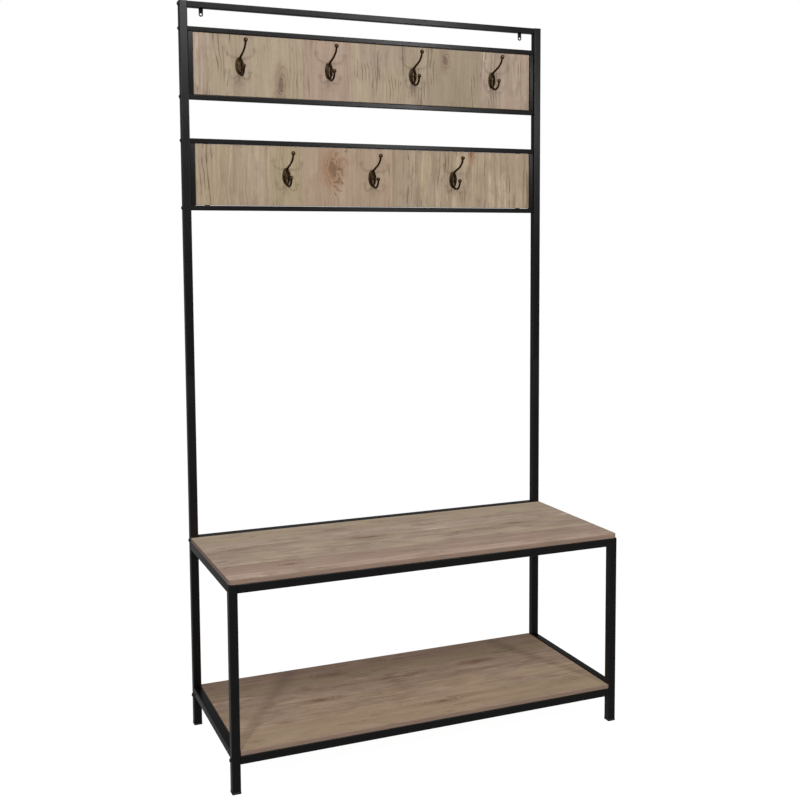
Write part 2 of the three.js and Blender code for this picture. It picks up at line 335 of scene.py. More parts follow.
class Graph:
    """A node tree, with a method for each kind of step that the finishes share."""

    def __init__(self, owner: bpy.types.Material | bpy.types.World) -> None:
        """Start with no nodes, in a material or a world."""
        owner.use_nodes = True
        self.owner = owner
        self.tree = owner.node_tree
        self.tree.nodes.clear()

    @staticmethod
    def material(name: str) -> "Graph":
        """The graph of a new material."""
        return Graph(bpy.data.materials.new(name))

    def node(
        self, kind: str, settings: dict[str, Any] | None = None, inputs: dict[Any, Input] | None = None
    ) -> Any:
        """Add a node.

        Args:
            kind: the node's type.
            settings: its properties, set first.
            inputs: what its input sockets hold, by name or number: a Value is linked, anything else is set.

        Returns:
            The node.
        """
        made = self.tree.nodes.new(kind)
        for key, value in (settings or {}).items():
            setattr(made, key, value)
        for key, value in (inputs or {}).items():
            socket = made.inputs[key]
            if isinstance(value, Value):
                self.tree.links.new(value.socket, socket)
            else:
                plain = isinstance(value, (int, float))
                socket.default_value = value if plain else (*value, 1.0)[: len(socket.default_value)]
        return made

    def value(
        self, kind: str, settings: dict[str, Any] | None, inputs: dict[Any, Input], out: Any = 0
    ) -> Value:
        """Add a node and return one of its outputs."""
        return Value(self, self.node(kind, settings, inputs).outputs[out])

    def math(self, operation: str, *values: Input) -> Value:
        """A Math node on up to three values."""
        return self.value("ShaderNodeMath", {"operation": operation}, dict(enumerate(values)))

    def vector(self, x: Input, y: Input, z: Input) -> Value:
        """Three numbers as a vector."""
        return self.value("ShaderNodeCombineXYZ", None, {0: x, 1: y, 2: z})

    def step(self, value: Value, low: float, high: float) -> Value:
        """0 where the value is at low, 1 where it is at high, and smooth between."""
        settings = {"interpolation_type": "SMOOTHSTEP"}
        return self.value("ShaderNodeMapRange", settings, {0: value, 1: low, 2: high, 3: 0.0, 4: 1.0})

    def noise(self, at: Value, scale: float, detail: float = 2.0, roughness: float = 0.5) -> Value:
        """Cloudy noise about 0.5."""
        inputs = {"Vector": at, "Scale": scale, "Detail": detail, "Roughness": roughness}
        return self.value("ShaderNodeTexNoise", None, inputs)

    def mix(self, factor: Input, a: Input, b: Input, blend: str = "MIX") -> Value:
        """Colour a where the factor is 0 and b where it is 1, through a Mix node."""
        settings = {"data_type": "RGBA", "blend_type": blend}
        return self.value("ShaderNodeMix", settings, {0: factor, 6: a, 7: b}, 2)

    def place(self) -> Value:
        """Object coordinates, in metres, which are the frame's own."""
        return Value(self, self.node("ShaderNodeTexCoord").outputs["Object"])

    def axes(self) -> list[Value]:
        """The three object coordinates, each by itself."""
        made = self.node("ShaderNodeSeparateXYZ", None, {0: self.place()})
        return [Value(self, output) for output in made.outputs]

    def wear(self) -> Value:
        """The surface's own wear, as each piece carries it."""
        return self.value("ShaderNodeAttribute", {"attribute_name": "wear"}, {}, "Fac")

    def finish(self, height: Value, depth: float, inputs: dict[str, Input]) -> bpy.types.Material:
        """End the graph in a Principled shader.

        Args:
            height: the relief, from 0 to 1.
            depth: how deep the relief is, in metres.
            inputs: the shader's sockets.

        Returns:
            The material.
        """
        normal = self.value("ShaderNodeBump", None, {"Strength": 1.0, "Distance": depth, "Height": height})
        shader = self.value("ShaderNodeBsdfPrincipled", None, {**inputs, "Normal": normal})
        self.node("ShaderNodeOutputMaterial", None, {"Surface": shader})
        return self.owner


def linear(red: float, green: float, blue: float) -> Colour:
    """A colour given as 0 to 255 on a screen, as linear light: ((c + 0.055) / 1.055) ^ 2.4."""
    return tuple(((c / 255 + 0.055) / 1.055) ** 2.4 for c in (red, green, blue))


def times(colour: Colour, *factors: float) -> Colour:
    """A colour with its parts multiplied, each by its own factor or all by one."""
    return tuple(c * k for c, k in zip(colour, factors * 3 if len(factors) == 1 else factors))


# -----------------------------------------------------------------------------
# Finishes
# -----------------------------------------------------------------------------


@dataclass(frozen=True)
class PowderCoat:
    """Black powder coat on steel: faint orange peel, mottled gloss, and lighter along the corners, partly
    rubbed wear and partly a painted highlight.
    """

    name: str = "powder_coat_black"
    colour: Colour = linear(15, 13, 13)
    # The corner colour: partly rubbed paint, partly a painted highlight along the tube corners.
    rubbed: Colour = linear(52, 46, 41)
    roughness: float = 0.33
    peel: float = 900.0
    peel_depth: float = 0.02 * MM

    def build(self) -> bpy.types.Material:
        """Make the material."""
        graph = Graph.material(self.name)
        at = graph.place()
        mottle = graph.noise(at, 14.0, 3.0)
        peel = graph.noise(at, self.peel, 2.0)
        scuffs = graph.step(graph.noise(at, 55.0, 4.0, 0.65), 0.5, 0.68)
        # Lighter along every tube corner: partly rubbed wear, partly a painted highlight of the corners.
        rubbed = graph.wear() * (0.25 + 0.6 * scuffs)
        tone = graph.mix(mottle, times(self.colour, 0.86), times(self.colour, 1.14))
        colour = graph.mix(rubbed * 0.5, tone, self.rubbed)
        roughness = self.roughness - 0.05 + 0.12 * mottle - 0.04 * rubbed
        height = peel + 0.5 * scuffs * graph.wear()
        inputs = {"Base Color": colour, "Roughness": roughness, "Specular IOR Level": 0.26}
        return graph.finish(height, self.peel_depth, inputs)


class Grain(Enum):
    """Which way a board's grain runs: the numbers are the axes along it, across it and through the board."""

    LENGTHWAYS = (0, 1, 2)
    UPRIGHT = (2, 0, 1)


@dataclass(frozen=True)
class Knot:
    """A knot in the oak print: its middle, along and across the grain, and how far its swirl reaches."""

    along: float
    across: float
    length: float
    width: float


@dataclass(frozen=True)
class OakLaminate:
    """Rustic oak print on board: strips of varied tone, streaks, growth lines, knots, cracks and pores."""

    name: str
    grain: Grain
    base: Colour
    seed: float
    strip: float
    contrast: float
    knots: tuple[Knot, ...]
    swirl: Colour = (0.68, 0.6, 0.55)
    crack_pitch: float = 0.058
    nick_pitch: float = 0.019
    rings_per_metre: float = 105.0
    relief: float = 0.12 * MM

    def build(self) -> bpy.types.Material:
        """Make the material.

        The grain waves: drift is the place across it plus a slow sway. The growth lines are a sine of the
        drift, bent round the knots and the clouds.
        """
        graph = Graph.material(self.name)
        axes = graph.axes()
        along, across, through = (axes[k] for k in self.grain.value)
        near = self.nearness(graph, along, across)
        along = along + self.seed
        across = across + 0.37 * self.seed

        strips = {"W": across / self.strip, "Scale": 1.0}
        cells = graph.node("ShaderNodeTexVoronoi", {"voronoi_dimensions": "1D"}, strips)
        chance = graph.node("ShaderNodeSeparateColor", None, {0: Value(graph, cells.outputs["Color"])})
        tone, hue, slide = (Value(graph, output) for output in chance.outputs)

        run = along + slide * 3.0
        sway = graph.noise(graph.vector(run * 3.6, across * 9.0, through), 1.0, 3.0) - 0.5
        drift = across + 0.014 * sway
        streaks = graph.noise(graph.vector(run * 4.0, drift * 110.0, through * 20.0), 1.0, 5.0, 0.62)
        broad = graph.noise(graph.vector(run * 3.4, drift * 36.0, 0.3), 1.0, 4.0, 0.6)
        cloud = graph.noise(graph.vector(run * 8.0, drift * 17.0, 0.9), 1.0, 3.0)
        blot = graph.noise(graph.vector(run * 17.0, drift * 42.0, 5.2), 1.0, 4.0, 0.62)
        burst = graph.noise(graph.vector(run * 6.0, drift * 17.0, 8.1), 1.0, 3.0)
        fine = graph.noise(graph.vector(run * 16.0, drift * 820.0, 0.0), 1.0, 3.0, 0.6)
        pores = graph.step(graph.noise(graph.vector(run * 60.0, drift * 2100.0, 0.0), 1.0, 1.0), 0.6, 0.7)

        turn = drift * self.rings_per_metre + 5.0 * near + 2.4 * sway + 3.4 * cloud
        lines = (0.5 + 0.5 * graph.math("SINE", turn * (2 * math.pi))) ** 3.0
        growth = lines * graph.math("MAXIMUM", graph.step(broad, 0.48, 0.62), graph.step(near, 0.08, 0.5))
        hairs = graph.step(lines, 0.5, 0.92) * graph.step(burst, 0.55, 0.61) * graph.step(blot, 0.4, 0.52)
        core = graph.step(near, 0.66, 0.9)
        cracks = self.cracks(graph, run, drift, sway)

        k = self.contrast
        warmth = hue + 0.5 * cloud
        light = times(self.base, 1 + 0.15 * k, 1 + 0.15 * k, 1 + 0.14 * k)
        dark = times(self.base, 1 - 0.3 * k, 1 - 0.33 * k, 1 - 0.36 * k)
        colour = graph.mix(graph.step(streaks, 0.28, 0.74), light, dark)
        ground = (
            (graph.step(broad, 0.42, 0.7) * (0.6 * k), (0.66, 0.61, 0.57)),
            (graph.step(cloud, 0.4, 0.6) * 0.6, (0.77, 0.75, 0.75)),
            (graph.step(blot, 0.46, 0.66) * (0.5 * k), (0.6, 0.54, 0.49)),
            (graph.step(warmth, 0.8, 0.95) * 0.5, (1.06, 0.94, 0.92)),
            (graph.step(warmth, 0.66, 0.46) * 0.6, (0.97, 0.99, 0.82)),
        )
        colour = self.layered(graph, colour, ground)
        shade = 1 - 0.14 * k + 0.26 * k * tone
        colour = graph.mix(1.0, colour, graph.vector(shade, shade, shade), "MULTIPLY")
        marks = (
            (graph.step(near, 0.0, 0.7) * 0.75, self.swirl),
            (growth * (0.35 + 0.5 * near), (0.42, 0.31, 0.25)),
            (graph.step(fine, 0.45, 0.75) * 0.3, (0.6, 0.54, 0.49)),
            (pores * 0.35, (0.42, 0.36, 0.32)),
            (hairs * 0.7, (0.27, 0.2, 0.15)),
            (core * 0.6, (0.3, 0.2, 0.15)),
            (cracks * 0.8, (0.2, 0.14, 0.1)),
        )
        colour = self.layered(graph, colour, marks)

        height = 0.6 + 0.25 * fine - 0.4 * pores - 0.6 * cracks - 0.3 * core
        roughness = 0.5 + 0.12 * streaks + 0.15 * pores
        inputs = {"Base Color": colour, "Roughness": roughness, "IOR": 1.45, "Specular IOR Level": 0.35}
        return graph.finish(height, self.relief, inputs)

    def layered(self, graph: Graph, colour: Value, layers: Sequence[tuple[Value, Colour]]) -> Value:
        """Lay tints of the base colour over a colour, each as strongly as its mask.

        Args:
            graph: the material's graph.
            colour: what they are laid over.
            layers: the masks, and what each part of the base colour is multiplied by.

        Returns:
            The colour with all of them.
        """
        for mask, tint in layers:
            colour = graph.mix(mask, colour, times(self.base, *tint))
        return colour

    def nearness(self, graph: Graph, along: Value, across: Value) -> Value:
        """1 in the middle of a knot, falling evenly to 0 at the edge of its swirl.

        Args:
            graph: the material's graph.
            along: place along the grain.
            across: place across it.

        Returns:
            The largest over all the knots.
        """
        most = across * 0.0
        for knot in self.knots:
            u, v = (along - knot.along) / knot.length, (across - knot.across) / knot.width
            most = graph.math("MAXIMUM", most, 1.0 - (u * u + v * v) ** 0.5)
        wobble = graph.noise(graph.vector(along * 22.0, across * 60.0, 1.0), 1.0, 3.0, 0.6)
        return most * (0.3 + 1.4 * wobble)

    def cracks(self, graph: Graph, run: Value, drift: Value, sway: Value) -> Value:
        """Hairline cracks along the grain, and short dark nicks.

        Both lie on the borders of unequal cells across the grain, and show only where a noise is high.

        Args:
            graph: the material's graph.
            run: place along the grain.
            drift: place across it, following its waves.
            sway: the waves themselves.

        Returns:
            1 in a crack.
        """
        found = []
        for pitch, stretch, low in ((self.crack_pitch, 7.0, 0.58), (self.nick_pitch, 20.0, 0.66)):
            settings = {"voronoi_dimensions": "1D", "feature": "DISTANCE_TO_EDGE"}
            inputs = {"W": (drift + 0.004 * sway) / pitch, "Scale": 1.0}
            gap = graph.value("ShaderNodeTexVoronoi", settings, inputs, "Distance")
            shown = graph.noise(graph.vector(run * stretch, drift / pitch * 0.7, 4.0), 1.0, 1.0)
            shown = graph.step(shown, low, low + 0.08)
            found.append(shown * (1.0 - graph.step(gap, 0.4 * MM / pitch, 1.5 * MM / pitch)))
        return graph.math("MAXIMUM", *found)


@dataclass(frozen=True)
class EdgeBand:
    """Thin plastic band printed like oak, ironed round a board's edges."""

    name: str = "oak_edge_band"
    colour: Colour = linear(158, 133, 116)

    def build(self) -> bpy.types.Material:
        """Make the material."""
        graph = Graph.material(self.name)
        x, y, z = graph.axes()
        lines = graph.noise(graph.vector(x * 14.0, y * 14.0, z * 900.0), 1.0, 4.0, 0.6)
        cloud = graph.noise(graph.place(), 9.0, 3.0)
        colour = graph.mix(graph.step(lines, 0.35, 0.7), self.colour, times(self.colour, 0.66))
        colour = graph.mix(0.35 * cloud, colour, times(self.colour, 0.8))
        inputs = {"Base Color": colour, "Roughness": 0.46 + 0.1 * lines, "Specular IOR Level": 0.4}
        return graph.finish(lines, 0.05 * MM, inputs)


@dataclass(frozen=True)
class AntiqueBronze:
    """Dark antique bronze plating on cast hooks: olive brown in the hollows, brassy where it is rubbed; on
    the balls the brass is partly a painted highlight.
    """

    name: str = "antique_bronze"
    colour: Colour = linear(54, 42, 27)
    # Brass of rubbed spots, and on the balls partly a painted highlight.
    brass_and_highlight: Colour = linear(116, 92, 62)

    def build(self) -> bpy.types.Material:
        """Make the material."""
        graph = Graph.material(self.name)
        at = graph.place()
        patches = graph.noise(at, 160.0, 4.0, 0.6)
        pits = graph.noise(at, 1400.0, 3.0, 0.6)
        rubbed = graph.wear() * graph.step(patches, 0.3, 0.62)
        colour = graph.mix(graph.step(patches, 0.35, 0.65), self.colour, times(self.colour, 0.55))
        # Brass where rubbed: on the balls it is partly a painted highlight.
        colour = graph.mix(rubbed * 0.55, colour, self.brass_and_highlight)
        roughness = 0.3 + 0.16 * patches - 0.1 * rubbed
        inputs = {"Base Color": colour, "Roughness": roughness, "Metallic": 0.92}
        return graph.finish(pits + 0.6 * patches, 0.05 * MM, inputs)


@dataclass(frozen=True)
class BlackOxide:
    """Blackened steel of bolts and screws, a little browner and glossier than the paint."""

    name: str = "black_oxide"
    colour: Colour = linear(40, 38, 37)
    bright: Colour = linear(96, 90, 84)

    def build(self) -> bpy.types.Material:
        """Make the material."""
        graph = Graph.material(self.name)
        at = graph.place()
        cloud = graph.noise(at, 300.0, 3.0)
        grit = graph.noise(at, 2600.0, 2.0)
        rubbed = graph.wear() * graph.step(cloud, 0.35, 0.6)
        colour = graph.mix(rubbed * 0.6, self.colour, self.bright)
        inputs = {"Base Color": colour, "Roughness": 0.36 + 0.18 * cloud, "Metallic": 0.75}
        return graph.finish(grit, 0.02 * MM, inputs)


@dataclass(frozen=True)
class FootPlastic:
    """Matt black plastic with a fine moulded grain."""

    name: str = "foot_plastic"
    colour: Colour = linear(27, 27, 27)
    dusty: Colour = linear(88, 84, 78)

    def build(self) -> bpy.types.Material:
        """Make the material."""
        graph = Graph.material(self.name)
        at = graph.place()
        grain = graph.noise(at, 2200.0, 3.0, 0.7)
        dust = graph.step(graph.noise(at, 60.0, 4.0), 0.5, 0.8) * graph.wear()
        colour = graph.mix(dust * 0.5, self.colour, self.dusty)
        inputs = {"Base Color": colour, "Roughness": 0.6 + 0.15 * grain}
        return graph.finish(grain, 0.05 * MM, inputs)


@dataclass(frozen=True)
class StudioPaper:
    """White paper on the floor. Its glow makes it show white, and lights the scene less than that."""

    name: str = "studio_paper"
    shown: float = 0.98
    cast: float = 0.2

    def build(self) -> bpy.types.Material:
        """Make the material."""
        graph = Graph.material(self.name)
        fibre = graph.noise(graph.place(), 40.0, 4.0)
        colour = graph.mix(fibre, (0.1, 0.1, 0.1), (0.12, 0.12, 0.12))
        seen = graph.value("ShaderNodeLightPath", None, {}, "Is Camera Ray")
        glow = graph.mix(seen, (self.cast, self.cast, self.cast), (self.shown, self.shown, self.shown))
        inputs = {"Base Color": colour, "Roughness": 0.9, "Specular IOR Level": 0.1}
        inputs |= {"Emission Color": glow, "Emission Strength": 1.0}
        return graph.finish(fibre, 0.02 * MM, inputs)


OAK_SEAT = OakLaminate(
    "oak_seat",
    Grain.LENGTHWAYS,
    linear(203, 182, 165),
    seed=1.3,
    strip=0.08,
    contrast=1.2,
    knots=(
        Knot(-0.09, 0.015, 0.1, 0.022),
        Knot(-0.42, 0.03, 0.06, 0.016),
        Knot(-0.34, -0.135, 0.05, 0.016),
        Knot(0.32, -0.005, 0.07, 0.016),
    ),
)
OAK_SHELF = OakLaminate(
    "oak_shelf",
    Grain.LENGTHWAYS,
    linear(196, 171, 151),
    seed=6.1,
    strip=0.09,
    contrast=1.3,
    knots=(
        Knot(0.24, 0.07, 0.08, 0.02),
        Knot(0.04, -0.135, 0.07, 0.018),
        Knot(-0.22, -0.01, 0.08, 0.02),
        Knot(-0.15, 0.135, 0.08, 0.026),
    ),
)
OAK_UPPER_PANEL = OakLaminate(
    "oak_upper_panel",
    Grain.UPRIGHT,
    linear(169, 152, 135),
    seed=3.7,
    strip=0.13,
    contrast=1.2,
    knots=(Knot(1.62, -0.245, 0.09, 0.022), Knot(1.71, 0.21, 0.05, 0.02)),
)
OAK_LOWER_PANEL = OakLaminate(
    "oak_lower_panel",
    Grain.UPRIGHT,
    linear(178, 160, 137),
    seed=9.2,
    strip=0.12,
    contrast=1.2,
    knots=(Knot(1.415, -0.11, 0.075, 0.048), Knot(1.47, 0.29, 0.05, 0.018)),
    swirl=(0.74, 0.5, 0.38),
)


class Finishes:
    """Every material of the hall tree, made once."""

    def __init__(self) -> None:
        """Build them all."""
        self.paint = PowderCoat().build()
        self.seat = OAK_SEAT.build()
        self.shelf = OAK_SHELF.build()
        self.upper = OAK_UPPER_PANEL.build()
        self.lower = OAK_LOWER_PANEL.build()
        self.edge = EdgeBand().build()
        self.bronze = AntiqueBronze().build()
        self.oxide = BlackOxide().build()
        self.plastic = FootPlastic().build()
        self.paper = StudioPaper().build()


# -----------------------------------------------------------------------------
# Pieces
# -----------------------------------------------------------------------------


def add_mesh(name: str, surface: Surface, materials: Sequence[bpy.types.Material]) -> bpy.types.Object:
    """Put a surface into the scene.

    Args:
        name: the object's name.
        surface: its shape.
        materials: what the surface's finishes 0, 1, ... stand for.

    Returns:
        The object, at the origin, with its place in its mesh.
    """
    mesh = bpy.data.meshes.new(name)
    faces = surface.quads.tolist() + [cap.tolist() for cap in surface.caps]
    mesh.from_pydata(surface.points.tolist(), [], faces)
    for material in materials:
        mesh.materials.append(material)
    mesh.polygons.foreach_set("material_index", surface.finishes.astype(np.int32))
    mesh.polygons.foreach_set("use_smooth", np.ones(len(faces), bool))
    mesh.attributes.new("wear", "FLOAT", "POINT").data.foreach_set("value", surface.wear.astype(np.float32))
    mesh.set_sharp_from_angle(angle=math.radians(38))
    mesh.validate()
    made = bpy.data.objects.new(name, mesh)
    bpy.context.scene.collection.objects.link(made)
    return made


def add_piece(
    name: str, surface: Surface, materials: Sequence[bpy.types.Material], stands_for: str = ""
) -> None:
    """Add a piece of the hall tree, which rides on its one body.

    Args:
        name: the piece's name.
        surface: its shape.
        materials: its finishes.
        stands_for: the part of the frame that it takes the place of, if any.
    """
    piece = add_mesh(name, surface, materials)
    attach(piece, "root")
    if stands_for:
        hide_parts(stands_for)
    log.info("%s: %d faces", name, len(surface.finishes))


def box_of(node: str) -> tuple[np.ndarray, np.ndarray]:
    """The lowest and highest corners of a part of the frame."""
    low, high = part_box(node)
    return np.array(low), np.array(high)


class TubeEnd(Enum):
    """How a tube ends."""

    OPEN = "cut square, and joined to its neighbour"
    PLATED = "closed by a welded plate"


# Corner radius and wall of the frame's tubes, and of the spigots inside the uprights.
MAIN_TUBE = (2.0 * MM, 1.2 * MM)
SMALL_TUBE = (1.6 * MM, 1.0 * MM)
SPIGOT_TUBE = (1.6 * MM, 1.5 * MM)


@dataclass
class SquareTube:
    """A length of square steel tube, which takes its place and size from a part of the frame."""

    radius: float
    wall: float
    start: TubeEnd = TubeEnd.OPEN
    end: TubeEnd = TubeEnd.OPEN
    ease: float = 0.35 * MM
    plate: float = 1.5 * MM

    def surface(self, low: np.ndarray, high: np.ndarray) -> Surface:
        """The tube between two corners.

        It is a stack of rounded squares, up the outside from the lower rim to the upper one. A plated end is
        an eased flat face. The bore of an open tube ends the stack, which closes on itself. The bore of one
        that has a plate at its far end starts the stack, from the plate's inner face.

        Args:
            low: the lowest corner.
            high: the highest corner.

        Returns:
            The tube's surface, in place.
        """
        size = high - low
        axis = int(np.argmax(size))
        length = size[axis]
        half = size[(axis + 1) % 3] / 2
        inset, rise = eased(self.ease)
        insets, along = [inset, inset[::-1]], [rise, (length - rise)[::-1]]
        through = self.start is self.end is TubeEnd.OPEN
        if self.start is TubeEnd.OPEN:
            place = len(insets) if through else 0
            insets.insert(place, np.array([self.wall, self.wall]))
            along.insert(place, np.array([length - (self.ease if through else self.plate), self.ease]))
        insets, along = np.concatenate(insets), np.concatenate(along)
        rings, wear = rounded_rings((half, half), [self.radius] * 4, insets, along)
        middle = (low + high) / 2
        middle[axis] = low[axis]
        return Surface.loft(rings, wear, through).placed(LONG_AXES[axis], middle)


@dataclass(frozen=True)
class WeldBead:
    """A short run of weld, laid in the corner between two tubes."""

    radius: float = 0.9 * MM
    ripple: float = 1.6 * MM

    def surface(self, start: np.ndarray, end: np.ndarray) -> Surface:
        """A rippled worm with tapered ends: radius * (1 + 0.12 cos(2 pi s / ripple)) * taper.

        Args:
            start: where the run begins.
            end: where it ends.

        Returns:
            The bead.
        """
        length = float(np.linalg.norm(end - start))
        s = np.linspace(0, length, max(8, int(length / (0.25 * MM))))
        path = start + (end - start) * (s / length)[:, None]
        taper = np.sqrt(np.clip(np.minimum(s, length - s) / (1.6 * self.radius), 0.02, 1))
        radius = self.radius * (1 + 0.12 * np.cos(2 * math.pi * s / self.ripple)) * taper
        side = np.array([0.0, 0.0, 1.0]) if abs(end[2] - start[2]) < 0.5 * length else AXIS_X
        return Surface.loft(sweep(path, side, circle(10), radius, radius), 0.3 * np.ones((len(s), 10)))


@dataclass(frozen=True)
class PanHeadScrew:
    """A small screw with a domed head and a cross recess. Its own Z runs out of the head."""

    radius: float = 2.7 * MM
    height: float = 1.7 * MM
    slot_width: float = 0.9 * MM
    slot_reach: float = 1.7 * MM
    slot_depth: float = 1.1 * MM

    def surface(self) -> Surface:
        """A dome of height h * (0.35 + 0.65 sqrt(1 - (r / R)^2)), with the cross sunk into it.

        The cross is where either |x| or |y| is under half the slot's width, out to the slot's reach.

        Returns:
            The screw head about the origin.
        """
        radii = self.radius * np.concatenate([[0.9, 1.0, 1.0], np.linspace(0.97, 0.02, 22)])
        rings = turned([(r, 0.0) for r in radii], 56)
        share = np.clip(radii / self.radius, 0, 1)
        dome = 0.35 * self.height + 0.65 * self.height * np.sqrt(1 - share**2)
        dome[:2] = 0.0
        x, y = np.abs(rings[..., 0]), np.abs(rings[..., 1])
        reach = np.hypot(x, y)
        edge = 0.14 * MM
        arm = 1 - smoothstep(self.slot_width / 2 - edge, self.slot_width / 2 + edge, np.minimum(x, y))
        arm *= 1 - smoothstep(self.slot_reach - edge, self.slot_reach + edge, reach)
        arm[:3] = 0.0
        rings[..., 2] = dome[:, None] - self.slot_depth * arm
        wear = np.broadcast_to(smoothstep(0.5, 1.0, share)[:, None], x.shape) * (1 - arm)
        return Surface.loft(rings, wear)


# -----------------------------------------------------------------------------
# Bench and back frame
# -----------------------------------------------------------------------------


@dataclass(frozen=True)
class Foot:
    """A moulded cap on the end of a tube: an eased pad under it, and a ribbed plug up its bore.

    toe is the pad's lower edge, as (inset, height above the floor), and brim its upper edge, as (inset, depth
    below the pad's top), both in millimetres.
    """

    plug_half: float = 8.5 * MM
    pad_height: float = 5 * MM
    corner: float = 2.3 * MM
    ribs: int = 6
    rib_depth: float = 0.35 * MM
    tip: float = 2 * MM
    toe: tuple[tuple[float, float], ...] = ((1.4, 0.0), (0.8, 0.0), (0.45, 0.15), (0.15, 0.6), (0.0, 1.2))
    brim: tuple[tuple[float, float], ...] = ((0.0, 0.8), (0.1, 0.3), (0.4, 0.0), (1.0, 0.0))

    def surface(self, low: np.ndarray, high: np.ndarray) -> Surface:
        """The foot between two corners.

        Args:
            low: the lowest corner.
            high: the highest corner.

        Returns:
            The foot, in place.
        """
        half, top = (high[0] - low[0]) / 2, high[2] - low[2]
        bore = half - self.plug_half
        toe = [(inset * MM, up * MM) for inset, up in self.toe]
        brim = [(inset * MM, self.pad_height - down * MM) for inset, down in self.brim]
        levels = np.linspace(self.pad_height + self.tip / 2, top - self.tip, 2 * self.ribs + 1)
        ribs = [(bore + self.rib_depth * (k % 2), level) for k, level in enumerate(levels)]
        end = [(bore + self.tip / 2, top), (bore + self.tip, top)]
        insets, heights = np.array([*toe, *brim, (bore, self.pad_height), *ribs, *end]).T
        rings, wear = rounded_rings((half, half), [self.corner] * 4, insets, heights)
        middle = (low + high) / 2
        return Surface.loft(rings, wear).placed(UP, np.array([middle[0], middle[1], low[2]]))


@dataclass
class SideFrame:
    """One end of the bench: an upright, a leg, and the seat and shelf rails welded between them."""

    side: str
    finishes: Finishes
    weld_margin: float = 2.2 * MM

    def build(self) -> None:
        """Make the tubes, their welds and the two feet."""
        tube = SquareTube(*MAIN_TUBE)
        for part in ("lower_upright", "front_leg"):
            node = f"{part}_{self.side}"
            add_piece(f"{node}_tube", tube.surface(*box_of(node)), [self.finishes.paint], node)
        for part in ("seat_side_rail", "shelf_side_rail"):
            node = f"{part}_{self.side}"
            low, high = box_of(node)
            rail = Surface.join([tube.surface(low, high), *self.welds(low, high)])
            add_piece(f"{node}_tube", rail, [self.finishes.paint], node)
        for part in ("front_foot", "rear_foot"):
            node = f"{part}_{self.side}"
            foot = Foot().surface(*box_of(node))
            add_piece(f"{node}_cap", foot, [self.finishes.plastic], node)

    def welds(self, low: np.ndarray, high: np.ndarray) -> list[Surface]:
        """Beads down the inner face and along the underside of a side rail, at both its ends.

        Args:
            low: the rail's lowest corner.
            high: its highest corner.

        Returns:
            Four beads.
        """
        bead = WeldBead()
        inner_x = high[0] if self.side == "left" else low[0]
        margin = self.weld_margin
        beads = []
        for y in (low[1], high[1]):
            down = np.array([[inner_x, y, high[2] - margin], [inner_x, y, low[2] + margin]])
            under = np.array([[low[0] + margin, y, low[2]], [high[0] - margin, y, low[2]]])
            beads += [bead.surface(*down), bead.surface(*under)]
        return beads


@dataclass
class BackUpright:
    """The upper half of one rear upright, and the spigot that joins it to the lower half."""

    side: str
    finishes: Finishes

    def build(self) -> None:
        """Make both tubes."""
        upright, spigot = f"upper_upright_{self.side}", f"splice_spigot_{self.side}"
        tube = SquareTube(*MAIN_TUBE, TubeEnd.OPEN, TubeEnd.PLATED).surface(*box_of(upright))
        add_piece(f"{upright}_tube", tube, [self.finishes.paint], upright)
        sleeve = SquareTube(*SPIGOT_TUBE).surface(*box_of(spigot))
        add_piece(f"{spigot}_sleeve", sleeve, [self.finishes.oxide], spigot)


